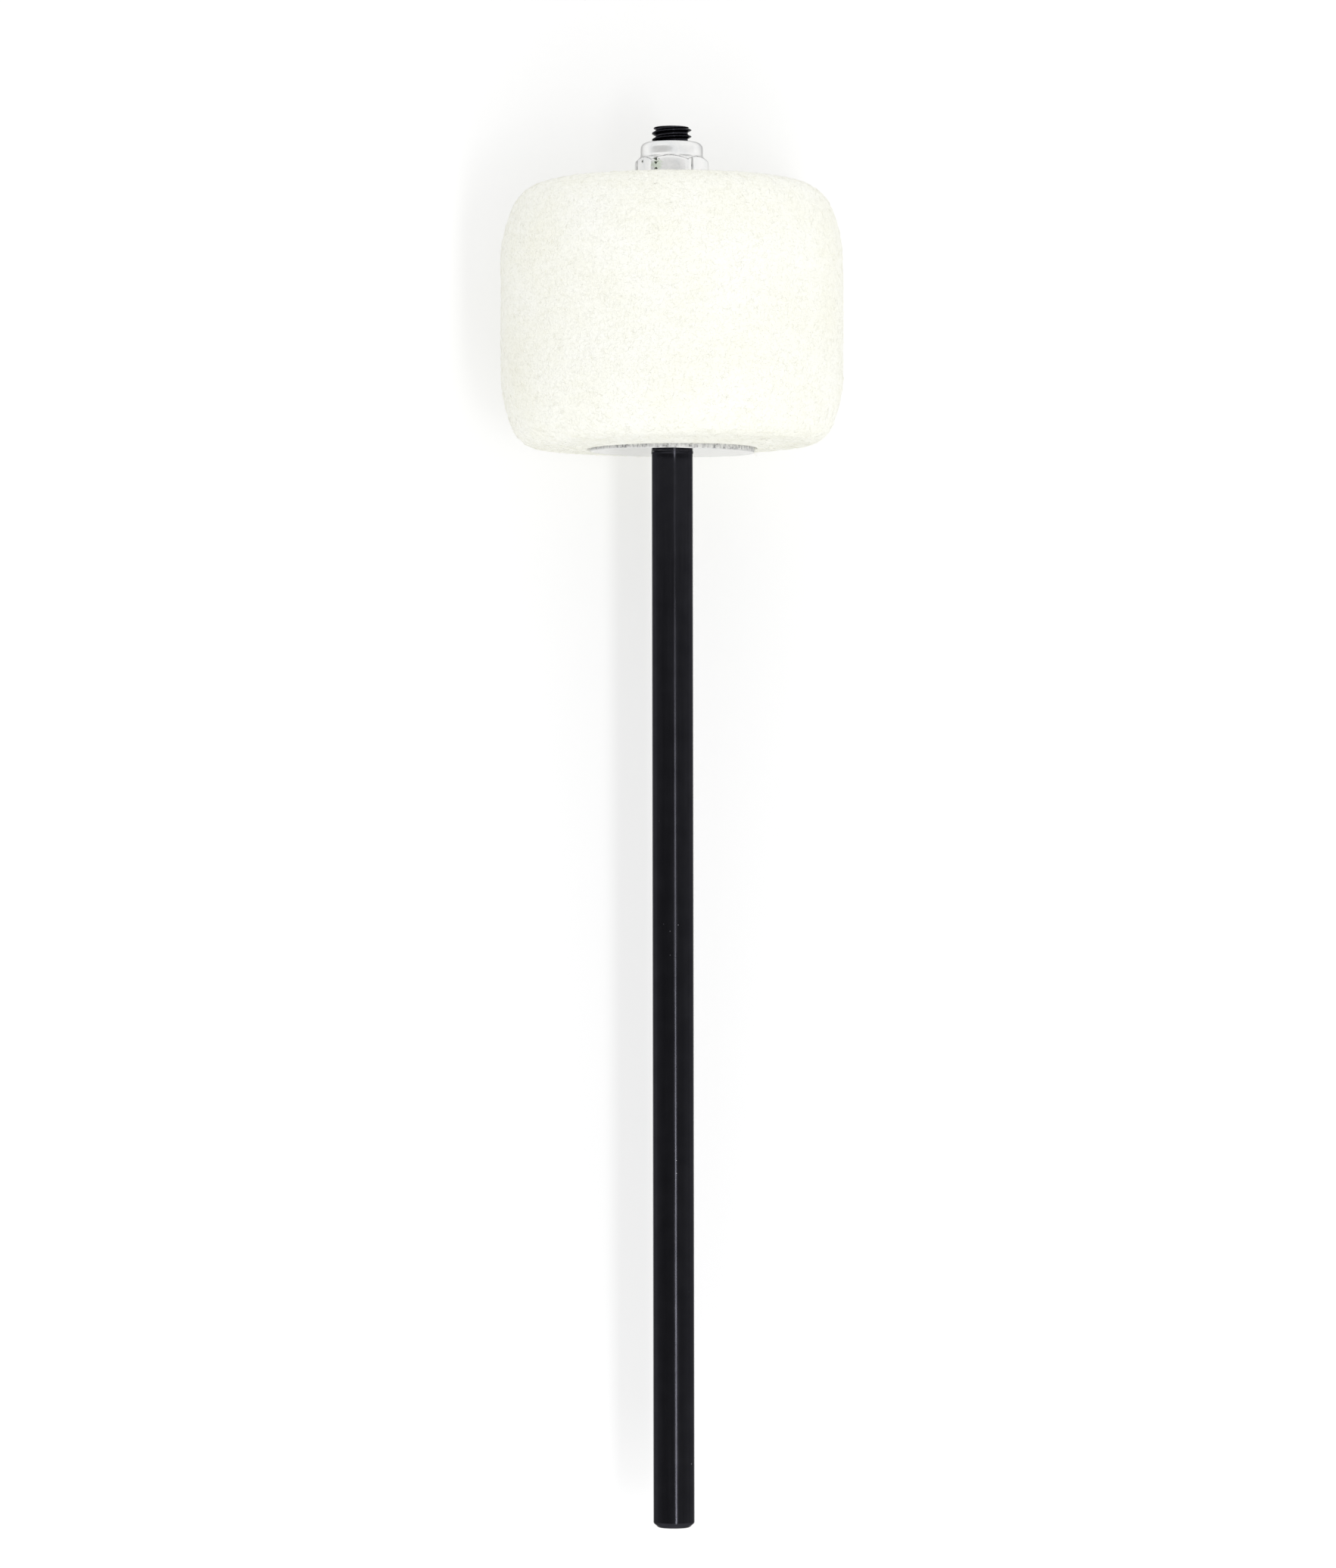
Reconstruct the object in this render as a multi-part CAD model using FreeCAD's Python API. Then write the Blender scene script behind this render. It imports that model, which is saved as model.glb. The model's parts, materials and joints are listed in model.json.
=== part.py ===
"""Bass drum beater: a black rod whose threaded end clamps a felt head between two large washers.

The rod's axis is +Z, with its plain tail at z = 0 and the felt head at the top. Lengths are in millimetres.
"""
import FreeCAD, Part
import math
import os

# Shaft: the plain rod that the pedal clamps, with a bevel at the tail and another at its shoulder.
shaft_diameter = 8.0
shaft_length = 209.0
tail_bevel = 0.8
shoulder_bevel_depth = 0.12
shoulder_bevel_height = 0.9

# Thread: right-handed, cut from the shoulder to the top end of the rod.
thread_diameter = 7.7
thread_pitch = 1.25
thread_depth = 0.7
thread_half_angle = 30.0
thread_crest_share = 0.125
thread_end_bevel = 0.4
thread_gap = 0.1
thread_above_nut = 3.0
thread_start_drop = 0.85
turns_in_stretch = 5

# Washers: two large thin ones of the same size, the lower tapped, the upper with a plain hole.
washer_diameter = 32.0
washer_thickness = 1.5
washer_edge_radius = 0.3
washer_hole_gap = 0.35

# Felt head: a squat cylinder with drawn-in sides and soft edges, pressed round both washers.
head_diameter = 66.9
head_height = 52.1
head_side_radius = 27.5
head_side_angle = 23.5
head_top_edge_radius = 7.7
head_bottom_edge_radius = 6.0
head_face_tilt = 2.5
head_lip_radius = 0.8
head_bore_gap = 0.35
head_washer_gap = 0.3
lower_washer_proud = 0.5
upper_washer_sunk = 0.2

# Lock nut: a hexagon below a round collar whose lip is rolled in over a nylon ring.
nut_across_flats = 12.8
nut_height = 8.0
nut_hex_height = 5.15
nut_turn_angle = -4.0
nut_bevel_angle = 40.0
nut_bevel_inset = 0.25
nut_mouth_bevel = 0.5
collar_diameter = 12.1
collar_wall = 0.7
collar_roll_radius = 1.2
lip_thickness = 0.7

# Nylon ring: held in the collar, its bore formed by the thread that runs through it.
ring_height = 2.0
ring_side_gap = 0.05

# How far a cutting tool reaches past what it cuts, and a buried piece into what it joins.
overrun = 0.15

# Levels along the axis, from the tail up.
seat_level = shaft_length
head_floor_level = seat_level + washer_thickness
head_bottom_level = seat_level + lower_washer_proud
head_top_level = head_bottom_level + head_height
nut_level = head_top_level - upper_washer_sunk
upper_washer_level = nut_level - washer_thickness
collar_level = nut_level + nut_hex_height
ring_level = collar_level
thread_top_level = nut_level + nut_height + thread_above_nut

# Radii that more than one piece takes.
shaft_radius = shaft_diameter / 2
thread_radius = thread_diameter / 2
thread_root_radius = thread_radius - thread_depth
tapped_bore_radius = thread_root_radius + thread_gap
tapped_groove_radius = thread_radius + thread_gap
washer_radius = washer_diameter / 2
thread_start_level = seat_level - thread_start_drop


def point(radius, level):
    """A point of a half section, on the +X side of the axis."""
    return FreeCAD.Vector(radius, 0, level)


def turned(edges):
    """The solid that a closed half section sweeps round the axis."""
    face = Part.Face(Part.Wire(edges))
    return face.revolve(FreeCAD.Vector(0, 0, 0), FreeCAD.Vector(0, 0, 1), 360)


def turned_polygon(corners):
    """A turned solid whose half section has straight sides."""
    points = [point(radius, level) for radius, level in corners]
    return turned(Part.makePolygon(points + points[:1]).Edges)


def arc(centre, radius, start, end):
    """An arc of a half section: centre is (radius, level), and the angles are in degrees from +X."""
    angles = [math.radians(angle) for angle in (start, (start + end) / 2, end)]
    points = [
        point(centre[0] + radius * math.cos(angle), centre[1] + radius * math.sin(angle))
        for angle in angles
    ]
    return Part.Arc(*points).toShape()


def line(start, end):
    """A straight side between two points of a half section."""
    return Part.LineSegment(start, end).toShape()


def joined(edges):
    """The edges with a straight side across each gap between one and the next, and back to the first."""
    whole = []
    for index, edge in enumerate(edges):
        whole.append(edge)
        end = edge.valueAt(edge.LastParameter)
        following = edges[(index + 1) % len(edges)]
        start = following.valueAt(following.FirstParameter)
        if end.distanceToPoint(start) > Part.Precision.confusion():
            whole.append(line(end, start))
    return whole


def ridge_half_width(radius, gap):
    """Half the thread ridge's width along the axis at a radius, with its flanks moved out by a gap."""
    slope = math.radians(thread_half_angle)
    crest = thread_crest_share * thread_pitch / 2
    return crest + (thread_radius - radius) * math.tan(slope) + gap / math.cos(slope)


def thread_ridge(inner_radius, outer_radius, gap, start, turns):
    """A helical ridge of whole stretches, from the level start up, with flat ends in the radial plane."""
    inner = ridge_half_width(inner_radius, gap)
    outer = ridge_half_width(outer_radius, gap)
    corners = [
        point(inner_radius, start - inner),
        point(outer_radius, start - outer),
        point(outer_radius, start + outer),
        point(inner_radius, start + inner),
    ]
    section = Part.makePolygon(corners + corners[:1])
    stretch_height = turns_in_stretch * thread_pitch
    helix = Part.makeHelix(thread_pitch, stretch_height, outer_radius)
    helix.translate(FreeCAD.Vector(0, 0, start))
    stretch = Part.Wire(helix.Edges).makePipeShell([section], False, True)
    count = math.ceil(turns / turns_in_stretch)
    faces = [Part.Face(section)]
    for index in range(count):
        faces += stretch.translated(FreeCAD.Vector(0, 0, index * stretch_height)).Faces
    faces.append(Part.Face(section).translated(FreeCAD.Vector(0, 0, count * stretch_height)))
    shell = Part.Shell(faces)
    shell.sewShape()
    solid = Part.Solid(shell)
    if solid.Volume < 0:
        solid.reverse()
    return solid


def threaded_rod(root_radius, crest_radius, gap, start, turns):
    """A core with its helical ridge. The core reaches a turn past both ends of the ridge."""
    ridge = thread_ridge(root_radius - overrun, crest_radius, gap, start, turns)
    core_height = ridge.BoundBox.ZLength + 2 * thread_pitch
    core = Part.makeCylinder(root_radius, core_height, point(0, start - thread_pitch))
    return core.fuse(ridge)


def tapped(solid, bottom, top):
    """The solid with a threaded hole on the axis, in step with the rod's thread at rest."""
    turns_below = math.floor((bottom - thread_start_level) / thread_pitch) - 1
    start = thread_start_level + turns_below * thread_pitch
    turns = (top - start) / thread_pitch + 1
    return solid.cut(threaded_rod(tapped_bore_radius, tapped_groove_radius, thread_gap, start, turns))


def make_stud():
    """The threaded end, cut off inside the shoulder and bevelled at the top."""
    turns = (thread_top_level - thread_start_level) / thread_pitch + 1
    rod = threaded_rod(thread_root_radius, thread_radius, 0, thread_start_level, turns)
    buried_level = (seat_level + thread_start_level) / 2
    outside = thread_radius + overrun
    end_radius = thread_radius - thread_end_bevel
    limit = turned_polygon([
        (0, buried_level),
        (outside, buried_level),
        (outside, thread_top_level - (outside - end_radius)),
        (end_radius, thread_top_level),
        (0, thread_top_level),
    ])
    return rod.common(limit)


def make_shaft():
    """The rod: a bevelled plain length, and the stud that grows out of its flat shoulder."""
    shank = turned_polygon([
        (0, 0),
        (shaft_radius - tail_bevel, 0),
        (shaft_radius, tail_bevel),
        (shaft_radius, seat_level - shoulder_bevel_height),
        (shaft_radius - shoulder_bevel_depth, seat_level),
        (0, seat_level),
    ])
    return shank.fuse(make_stud())


def washer_blank(level):
    """A stamped disc with softened rims, its lower face at a level."""
    inset = washer_radius - washer_edge_radius
    upper = level + washer_thickness
    return turned(joined([
        line(point(0, level), point(inset, level)),
        arc((inset, level + washer_edge_radius), washer_edge_radius, -90, 0),
        arc((inset, upper - washer_edge_radius), washer_edge_radius, 0, 90),
        line(point(inset, upper), point(0, upper)),
    ]))


def make_lower_washer():
    """The seat under the head: screwed down the thread until it jams on the rod's shoulder."""
    return tapped(washer_blank(seat_level), seat_level, head_floor_level)


def make_upper_washer():
    """The washer under the nut, which slides over the thread."""
    hole_radius = thread_radius + washer_hole_gap
    height = washer_thickness + 2 * overrun
    hole = Part.makeCylinder(hole_radius, height, point(0, upper_washer_level - overrun))
    return washer_blank(upper_washer_level).cut(hole)


def head_end_edges(face_level, floor_level, edge_radius, way):
    """The arcs of one end of the felt, from the washer's recess out to the side. way is 1 up, -1 down."""
    recess_radius = washer_radius + head_washer_gap
    side = math.radians(head_side_angle)
    tilt = math.radians(head_face_tilt)
    lip_centre = (recess_radius + head_lip_radius, face_level - way * head_lip_radius)
    edge_centre_radius = (
        head_diameter / 2 - head_side_radius + (head_side_radius - edge_radius) * math.cos(side)
    )
    face_start_radius = lip_centre[0] + head_lip_radius * math.sin(tilt)
    face_end_radius = edge_centre_radius + edge_radius * math.sin(tilt)
    face_drop = (face_end_radius - face_start_radius) * math.tan(tilt)
    face_drop += head_lip_radius * (1 - math.cos(tilt))
    edge_centre_level = face_level - way * (face_drop + edge_radius * math.cos(tilt))
    side_centre_level = edge_centre_level - way * (head_side_radius - edge_radius) * math.sin(side)
    side_centre = (head_diameter / 2 - head_side_radius, side_centre_level)
    face_angle = 90 - head_face_tilt
    return [
        line(point(thread_radius + head_bore_gap, floor_level), point(recess_radius, floor_level)),
        arc(lip_centre, head_lip_radius, way * 180, way * face_angle),
        arc((edge_centre_radius, edge_centre_level), edge_radius, way * face_angle, way * head_side_angle),
        arc(side_centre, head_side_radius, way * head_side_angle, 0),
    ]


def reversed_edges(edges):
    """The same edges, each one and the whole row run backwards."""
    return [backwards(edge) for edge in reversed(edges)]


def backwards(edge):
    """A line or arc drawn from its end to its start."""
    start = edge.valueAt(edge.FirstParameter)
    middle = edge.valueAt((edge.FirstParameter + edge.LastParameter) / 2)
    end = edge.valueAt(edge.LastParameter)
    if isinstance(edge.Curve, Part.Line):
        return line(end, start)
    return Part.Arc(end, middle, start).toShape()


def make_felt_head():
    """The felt block, with a bore for the thread and a pressed recess for each washer."""
    lower = head_end_edges(head_bottom_level, head_floor_level, head_bottom_edge_radius, -1)
    upper = head_end_edges(head_top_level, upper_washer_level, head_top_edge_radius, 1)
    return turned(joined(lower + reversed_edges(upper)))


def nut_hexagon():
    """The nut's six-sided foot, turned a little on its axis, with its corners bevelled at both ends."""
    corner_radius = nut_across_flats / math.sqrt(3)
    corners = [
        FreeCAD.Vector(
            corner_radius * math.cos(math.radians(nut_turn_angle + 60 * side)),
            corner_radius * math.sin(math.radians(nut_turn_angle + 60 * side)),
            nut_level,
        )
        for side in range(6)
    ]
    prism = Part.Face(Part.makePolygon(corners + corners[:1])).extrude(FreeCAD.Vector(0, 0, nut_hex_height))
    face_radius = nut_across_flats / 2 - nut_bevel_inset
    outside = corner_radius + overrun
    bevel_height = (outside - face_radius) * math.tan(math.radians(nut_bevel_angle))
    limit = turned_polygon([
        (0, nut_level),
        (face_radius, nut_level),
        (outside, nut_level + bevel_height),
        (outside, collar_level - bevel_height),
        (face_radius, collar_level),
        (0, collar_level),
    ])
    return prism.common(limit)


def nut_collar():
    """The round collar on the hexagon, with a pocket for the ring under its rolled lip."""
    outer = collar_diameter / 2
    pocket = outer - collar_wall
    top = nut_level + nut_height
    roll_centre = (outer - collar_roll_radius, top - collar_roll_radius)
    lip_end = (roll_centre[0], top - lip_thickness / 2)
    return turned(joined([
        line(point(pocket, collar_level), point(outer, collar_level)),
        arc(roll_centre, collar_roll_radius, 0, 90),
        arc(lip_end, lip_thickness / 2, 90, 270),
        line(point(pocket, top - lip_thickness), point(pocket, collar_level)),
    ]))


def make_lock_nut():
    """The steel of the nut: a tapped hexagon with a bevelled mouth, and the collar in one piece with it."""
    mouth_radius = tapped_groove_radius + nut_mouth_bevel
    mouth = turned_polygon([
        (0, nut_level - overrun),
        (mouth_radius + overrun, nut_level - overrun),
        (0, nut_level + mouth_radius),
    ])
    return tapped(nut_hexagon(), nut_level, collar_level).cut(mouth).fuse(nut_collar()).removeSplitter()


def make_nylon_ring():
    """The ring that grips the thread, seated on the hexagon's upper face inside the collar."""
    radius = collar_diameter / 2 - collar_wall - ring_side_gap
    blank = Part.makeCylinder(radius, ring_height, point(0, ring_level))
    return tapped(blank, ring_level, ring_level + ring_height)


makers = {
    "shaft": make_shaft,
    "lower_washer": make_lower_washer,
    "felt_head": make_felt_head,
    "upper_washer": make_upper_washer,
    "lock_nut": make_lock_nut,
    "nylon_ring": make_nylon_ring,
}

os.makedirs("parts", exist_ok=True)
for node, make in makers.items():
    make().exportStep("parts/" + node + ".step")
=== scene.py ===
"""Bass drum beater: the looks of the felt head, the black rod, the washers and the lock nut.

Lengths are in metres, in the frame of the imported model: +Z up the rod from its tail, +X to the right of
the view.
"""
import json
import math

import bmesh
import bpy
import numpy as np
from mathutils import Matrix, Vector, noise


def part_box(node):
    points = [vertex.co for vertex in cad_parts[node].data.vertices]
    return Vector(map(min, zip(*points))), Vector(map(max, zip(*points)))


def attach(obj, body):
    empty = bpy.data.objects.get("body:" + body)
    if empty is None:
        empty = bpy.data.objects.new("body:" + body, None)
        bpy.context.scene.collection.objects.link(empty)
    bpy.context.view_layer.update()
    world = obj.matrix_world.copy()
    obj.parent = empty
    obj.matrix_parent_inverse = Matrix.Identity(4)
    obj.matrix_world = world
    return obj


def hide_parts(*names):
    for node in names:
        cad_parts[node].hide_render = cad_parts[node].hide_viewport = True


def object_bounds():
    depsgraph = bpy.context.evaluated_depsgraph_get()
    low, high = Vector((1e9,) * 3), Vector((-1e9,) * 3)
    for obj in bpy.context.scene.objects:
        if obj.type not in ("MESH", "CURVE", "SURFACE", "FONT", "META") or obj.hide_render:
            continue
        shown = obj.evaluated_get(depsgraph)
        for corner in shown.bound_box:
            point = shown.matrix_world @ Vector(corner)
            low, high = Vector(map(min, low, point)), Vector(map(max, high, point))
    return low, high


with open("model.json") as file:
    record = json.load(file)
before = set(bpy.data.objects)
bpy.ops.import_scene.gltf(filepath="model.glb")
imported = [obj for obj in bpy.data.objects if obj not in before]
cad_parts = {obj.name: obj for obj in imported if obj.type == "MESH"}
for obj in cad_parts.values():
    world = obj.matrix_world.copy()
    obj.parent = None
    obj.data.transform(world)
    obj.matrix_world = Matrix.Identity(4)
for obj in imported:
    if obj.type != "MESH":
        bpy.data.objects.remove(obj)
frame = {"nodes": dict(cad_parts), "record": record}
cad_low, cad_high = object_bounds()

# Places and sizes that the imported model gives.
rod_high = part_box("shaft")[1]
lower_low, lower_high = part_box("lower_washer")
upper_low, upper_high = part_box("upper_washer")
felt_low, felt_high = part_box("felt_head")
nut_low, nut_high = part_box("lock_nut")
ring_low, ring_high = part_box("nylon_ring")
thread_pitch = 2 * math.pi * frame["record"]["behaviour"]["couplings"][0]["ratio"]


def cad_corners(node):
    """The corners of a CAD node's mesh, and their distances from the axis."""
    corners = np.array([vertex.co for vertex in frame["nodes"][node].data.vertices])
    return corners, np.hypot(corners[:, 0], corners[:, 1])


def cad_radii(node, bottom, top):
    """The least and greatest distance from the axis among a CAD node's corners between two levels."""
    corners, radii = cad_corners(node)
    inside = (corners[:, 2] >= bottom) & (corners[:, 2] <= top)
    return float(radii[inside].min()), float(radii[inside].max())


def cad_hexagon(node):
    """Half the distance across a CAD node's six flats, and the angle of its first corner round the axis."""
    corners, radii = cad_corners(node)
    farthest = corners[radii.argmax()]
    return float(radii.max()) * math.cos(math.pi / 6), math.atan2(farthest[1], farthest[0]) % (math.pi / 3)


thread_root, thread_crest = cad_radii("shaft", lower_high.z, upper_low.z)
felt_bore = cad_radii("felt_head", lower_high.z, upper_low.z)[0]
upper_hole = cad_radii("upper_washer", upper_low.z, upper_high.z)[0]
washer_radius = lower_high.x
nut_flat, nut_corner = cad_hexagon("lock_nut")

# Rod and thread.
tail_bevel = 0.0008
tail_edge_round = 0.00015
shoulder_burr = 0.0001
thread_start_drop = 0.00085
thread_start = lower_low.z - thread_start_drop
thread_half_angle = math.radians(30)
thread_crest_share = 0.125
thread_end_bevel = 0.0004
thread_gap = 0.0001
stud_cap_share = 0.97
rod_sides = 96
rows_in_turn, hidden_rows_in_turn = 24, 10

# Washers.
washer_edge_round = 0.0003
lower_washer_lean = (-math.tan(math.radians(0.7)), math.tan(math.radians(1.0)))
washer_cut_share = 0.3
washer_sides = 160

# Felt head: the same arcs as its solid, with a pressed, slightly uneven surface.
felt_side_radius = 0.0275
felt_side_angle = 23.5
felt_top_edge = 0.0077
felt_bottom_edge = 0.006
felt_face_tilt = 2.5
felt_lip = 0.0008
felt_washer_gap = 0.0003
felt_sides = 420
felt_step = 0.00042
lump_size, lump_height = 0.011, 0.0001
layer_size, layer_height = 0.0052, 0.000015
layer_flatness = 4.5
grain_size, grain_height = 0.0013, 0.00005
felt_inset = 0.00015
uneven_height = 0.0003
dimple_reach = 0.0075
dimple_share, dimple_lean_share = 0.12, -0.1

# Fibres on the felt.
fibre_radius = 0.000018
fibre_length = (0.0005, 0.002)
fibre_lift = (0.00001, 0.00009)
fibre_bend = 0.16
fibre_root_depth = 0.00008
fibre_ring_places = (0.33, 0.67)
tip_bend_share = 0.4
loose_share = 0.22
loose_lift = (0.0001, 0.0004)
loose_rise_share = 0.5
fibre_colour_shares = [0.5, 0.35, 0.1495, 0.0005]
side_fibres, end_fibres = 15000, 9000
end_slope = 0.75
fibre_seed = 20
least_norm = 1e-6

# Lock nut and its ring.
nut_bevel_angle = math.radians(40)
nut_bevel_inset = 0.00025
nut_mouth_bevel = 0.0005
nut_edge_blur = 0.00022
nut_corner_round = 0.00016
foot_bevel_reach, foot_bevel_rows = 0.0013, 24
foot_wall_start, foot_wall_rows = 0.0016, 6
fillet_drop, fillet_rise, fillet_rows = 0.00012, 0.00045, 10
# Where dark lines are painted along the nut's arches and by its corners, as shade in place of dark
# reflections.
shade_line_reach_share = 0.97
shade_line_width = 0.00012
shade_line_corner_shift, shade_line_corner_width = 0.17, 0.0003
collar_wall = 0.0007
collar_roll = 0.0012
collar_lip = 0.0007
collar_foot = 0.0005
pocket_inset = 0.0002
columns_in_flat = 32
corner_crowding = 0.11
ring_edge_round = 0.0003

# Marks on the nut's flats: how far across its front face, how far up and how wide.
dark_marks = [(-0.0026, 0.0043, 0.0012), (-0.0027, 0.0035, 0.0006), (-0.0026, 0.0023, 0.0006),
              (-0.0024, 0.0017, 0.0007), (-0.0055, 0.0041, 0.0008)]
tarnish_marks = [(-0.0025, 0.0032, 0.0024)]

# How far apart the points of the half sections are, and the angles from which an edge stays sharp.
edge_step = 0.0001
wall_step = 0.0003
ring_face_step = 0.0004
pocket_step = 0.0006
rod_end_step = 0.001
washer_face_step = 0.0012
felt_floor_step = 0.003
shank_step = 0.004
merge_distance = 1e-7
rod_sharp, washer_sharp, felt_sharp, nut_sharp, ring_sharp = 38, 40, 80, 35, 40

# The photograph's height in pixels and the camera that took it.
image_height = 2072
focal_pixels = 7500
eye_level_pixel = 1160
camera_place = Vector((-0.00093, -1.105, 0.1261))
camera_roll = math.radians(0.0955)
sensor_long_side = 36.0

# Stage and light.
backdrop_gap = 0.001
backdrop_half_width = 1.6
card_distance = 1.7
card_columns = 41
side_fade_share = 0.6
round_fade_share = 0.7
wing_gap = 0.00035
wing_back = felt_high.y + wing_gap
wing_near = 0.03
wing_fade = 0.2
white = (1.0, 1.0, 1.0, 1.0)


def line_points(start, end, step):
    """Points from one end of a straight run to the other, about a step apart."""
    start, end = np.array(start), np.array(end)
    count = max(2, int(np.linalg.norm(end - start) / step) + 1)
    return start + np.linspace(0, 1, count)[:, None] * (end - start)


def arc_points(centre, radius, start, end, step):
    """Points of an arc of a half section, about a step apart, with its angles in degrees from +X."""
    angles = np.radians([start, end])
    count = max(4, int(abs(angles[1] - angles[0]) * radius / step) + 1)
    turn = np.linspace(angles[0], angles[1], count)
    return np.array(centre) + radius * np.column_stack([np.cos(turn), np.sin(turn)])


def joined(runs):
    """Runs of points as one row, without the points that two runs share."""
    whole = [runs[0]]
    for run in runs[1:]:
        shared = np.allclose(run[0], whole[-1][-1], atol=merge_distance)
        whole.append(run[1:] if shared else run)
    return np.vstack(whole)


def even_angles(sides):
    """Angles round the axis, evenly spaced."""
    return np.arange(sides) * (2 * math.pi / sides)


def polar_points(radii, levels, angles):
    """A grid of points, one row for each level and one column for each angle."""
    shape = (len(levels), len(angles))
    radii = np.broadcast_to(np.asarray(radii, float), shape)
    heights = np.broadcast_to(np.asarray(levels, float).reshape(-1, 1), shape)
    return np.stack([radii * np.cos(angles), radii * np.sin(angles), heights], axis=-1)


def turned_points(section, sides):
    """The grid that a half section of (radius, level) points sweeps round the axis."""
    return polar_points(section[:, :1], section[:, 1], even_angles(sides))


def grid_faces(rows, sides, ring):
    """A grid's four-sided faces. Each row closes on itself; in a ring the last row joins the first."""
    row = np.arange(rows if ring else rows - 1)[:, None]
    column = np.arange(sides)[None, :]
    above, beside = (row + 1) % rows, (column + 1) % sides
    corners = [row * sides + column, row * sides + beside, above * sides + beside, above * sides + column]
    return np.stack(np.broadcast_arrays(*corners), axis=-1).reshape(-1, 4)


def soft_least(a, b, blur):
    """The lesser of two values, with a rounded change from one to the other."""
    return 0.5 * (a + b - np.sqrt((a - b) ** 2 + blur ** 2))


def thread_radii(angles, levels, gap):
    """The right-hand thread's radius at each level and angle, moved out by a gap for a tapped hole."""
    height = np.asarray(levels).reshape(-1, 1) - thread_start - thread_pitch * angles / (2 * math.pi)
    off_crest = np.abs(np.mod(height + thread_pitch / 2, thread_pitch) - thread_pitch / 2)
    crest_half = thread_crest_share * thread_pitch / 2 + gap / math.cos(thread_half_angle)
    radii = thread_crest + gap - (off_crest - crest_half) / math.tan(thread_half_angle)
    return np.clip(radii, thread_root + gap, thread_crest + gap)


def new_object(name, points, faces, materials):
    """An object in the scene from points and faces, with its materials."""
    mesh = bpy.data.meshes.new(name)
    mesh.from_pydata(points, [], faces)
    for material in materials:
        mesh.materials.append(material)
    made = bpy.data.objects.new(name, mesh)
    bpy.context.scene.collection.objects.link(made)
    return made


def make_piece(name, points, faces, body, node, materials, sharp_degrees):
    """A piece from a grid of points and its faces, riding on its body in place of its CAD node."""
    piece = new_object(name, points.reshape(-1, 3).tolist(), faces.tolist(), materials)
    mesh, shape = piece.data, bmesh.new()
    shape.from_mesh(mesh)
    bmesh.ops.remove_doubles(shape, verts=shape.verts, dist=merge_distance)
    shape.to_mesh(mesh)
    shape.free()
    mesh.shade_smooth()
    mesh.set_sharp_from_angle(angle=math.radians(sharp_degrees))
    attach(piece, body)
    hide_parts(node)
    return piece


def add_node(tree, kind, settings=None, values=None):
    """A new shader node, with its settings and the values of its open sockets."""
    node = tree.nodes.new(kind)
    for name, value in (settings or {}).items():
        setattr(node, name, value)
    for name, value in (values or {}).items():
        node.inputs[name].default_value = value
    return node


def new_material(name, values):
    """A material with one Principled shader, and its tree, shader and object coordinates."""
    material = bpy.data.materials.new(name)
    material.use_nodes = True
    tree = material.node_tree
    shader = tree.nodes["Principled BSDF"]
    for socket, value in values.items():
        shader.inputs[socket].default_value = value
    place = add_node(tree, "ShaderNodeTexCoord").outputs["Object"]
    return material, tree, shader, place


def stretched(tree, place, scale):
    """Coordinates multiplied along each axis, which flattens a pattern along the larger ones."""
    mapping = add_node(tree, "ShaderNodeMapping", values={"Scale": scale})
    tree.links.new(place, mapping.inputs["Vector"])
    return mapping.outputs["Vector"]


def noise_of(tree, place, size, detail=3.0, distortion=0.0):
    """A noise pattern whose features are about a size across."""
    values = {"Scale": 1 / size, "Detail": detail, "Distortion": distortion}
    pattern = add_node(tree, "ShaderNodeTexNoise", values=values)
    tree.links.new(place, pattern.inputs["Vector"])
    return pattern.outputs["Fac"]


def ramp(tree, factor, stops):
    """A colour ramp over a factor, from (position, colour) stops."""
    node = add_node(tree, "ShaderNodeValToRGB")
    elements = node.color_ramp.elements
    while len(elements) < len(stops):
        elements.new(0.5)
    for element, (position, colour) in zip(elements, stops):
        element.position = position
        element.color = (*colour, 1.0)
    tree.links.new(factor, node.inputs["Fac"])
    return node.outputs["Color"]


def mix(tree, factor, first, second, blend="MIX"):
    """Two colours mixed. The factor and the second colour may be plain values."""
    node = add_node(tree, "ShaderNodeMix", {"data_type": "RGBA", "blend_type": blend})
    for socket, value in ((node.inputs[0], factor), (node.inputs[6], first), (node.inputs[7], second)):
        if isinstance(value, bpy.types.NodeSocket):
            tree.links.new(value, socket)
        else:
            socket.default_value = value
    return node.outputs[2]


def ranged(tree, value, low, high, to_low, to_high):
    """A value moved from one range to another, and held within it."""
    values = {"From Min": low, "From Max": high, "To Min": to_low, "To Max": to_high}
    node = add_node(tree, "ShaderNodeMapRange", values=values)
    tree.links.new(value, node.inputs["Value"])
    return node.outputs["Result"]


def combined(tree, operation, first, second):
    """Two values combined by an operation, such as their sum or the greater of them."""
    node = add_node(tree, "ShaderNodeMath", {"operation": operation})
    tree.links.new(first, node.inputs[0])
    tree.links.new(second, node.inputs[1])
    return node.outputs["Value"]


def bump(tree, shader, height, strength, distance):
    """The shader's normal bent by a height pattern."""
    node = add_node(tree, "ShaderNodeBump", values={"Strength": strength, "Distance": distance})
    tree.links.new(height, node.inputs["Height"])
    tree.links.new(node.outputs["Normal"], shader.inputs["Normal"])


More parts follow.
